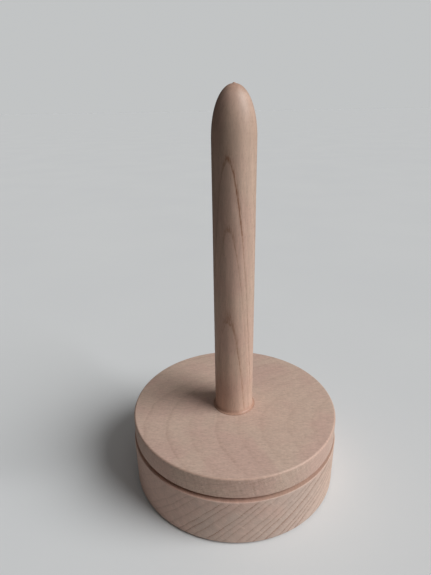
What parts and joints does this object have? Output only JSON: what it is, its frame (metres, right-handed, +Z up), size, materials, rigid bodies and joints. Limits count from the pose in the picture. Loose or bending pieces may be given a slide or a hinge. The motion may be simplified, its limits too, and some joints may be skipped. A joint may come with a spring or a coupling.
{
  "type": "paper towel holder",
  "caption": "Free-standing turned beech kitchen roll holder: an upright round-tipped post on a disc that spins on a thick round base.",
  "frame": {"origin": "centre of the footprint, on the surface that the feet stand on, straight below the post", "axes": "+Z up along the post and the turning axis; the body is round, and +Y points to the side where the access hole is, away from the viewer in the reference view; +X to the viewer's right"},
  "size_m": [0.162, 0.162, 0.2938],
  "materials": {
    "base_wood": "raw sanded beech, quarter of the block's side shows slanting growth rings",
    "disc_wood": "raw sanded beech, short flecks on the face",
    "post_wood": "raw sanded beech, arched grain along the post",
    "foot_rubber": "matte",
    "plug_rubber": "matte",
    "ring_aluminium": "turned",
    "screw_steel": "zinc plated",
    "bolt_steel": "zinc plated",
    "ball_steel": "polished",
    "retainer_nylon": "moulded",
    "insert_brass": "turned"
  },
  "bodies": {
    "base": {"base_block": "base_wood", "access_plug": "plug_rubber", "bearing_outer_ring": "ring_aluminium", "outer_ring_screws": "screw_steel", "foot_1": "foot_rubber", "foot_2": "foot_rubber", "foot_3": "foot_rubber", "foot_4": "foot_rubber"},
    "ball_cage": {"ball_retainer": "retainer_nylon", "bearing_ball_1": "ball_steel", "bearing_ball_2": "ball_steel", "bearing_ball_3": "ball_steel", "bearing_ball_4": "ball_steel", "bearing_ball_5": "ball_steel", "bearing_ball_6": "ball_steel", "bearing_ball_7": "ball_steel", "bearing_ball_8": "ball_steel", "bearing_ball_9": "ball_steel", "bearing_ball_10": "ball_steel", "bearing_ball_11": "ball_steel", "bearing_ball_12": "ball_steel", "bearing_ball_13": "ball_steel", "bearing_ball_14": "ball_steel", "bearing_ball_15": "ball_steel", "bearing_ball_16": "ball_steel"},
    "turntable": {"bearing_inner_ring": "ring_aluminium", "inner_ring_screws": "screw_steel", "turntable_disc": "disc_wood", "post": "post_wood", "post_insert": "insert_brass", "post_washer": "bolt_steel", "post_bolt": "bolt_steel"}
  },
  "joints": [
    {"name": "turntable_spin", "type": "hinge", "parent": "base", "child": "turntable", "pos_m": [0, 0, 0.04], "axis": [0, 0, 1], "continuous": true},
    {"name": "cage_orbit", "type": "hinge", "parent": "base", "child": "ball_cage", "pos_m": [0, 0, 0.04], "axis": [0, 0, 1], "continuous": true}
  ],
  "couplings": [
    {"joint": "cage_orbit", "follows": "turntable_spin", "ratio": 0.4779}
  ]
}
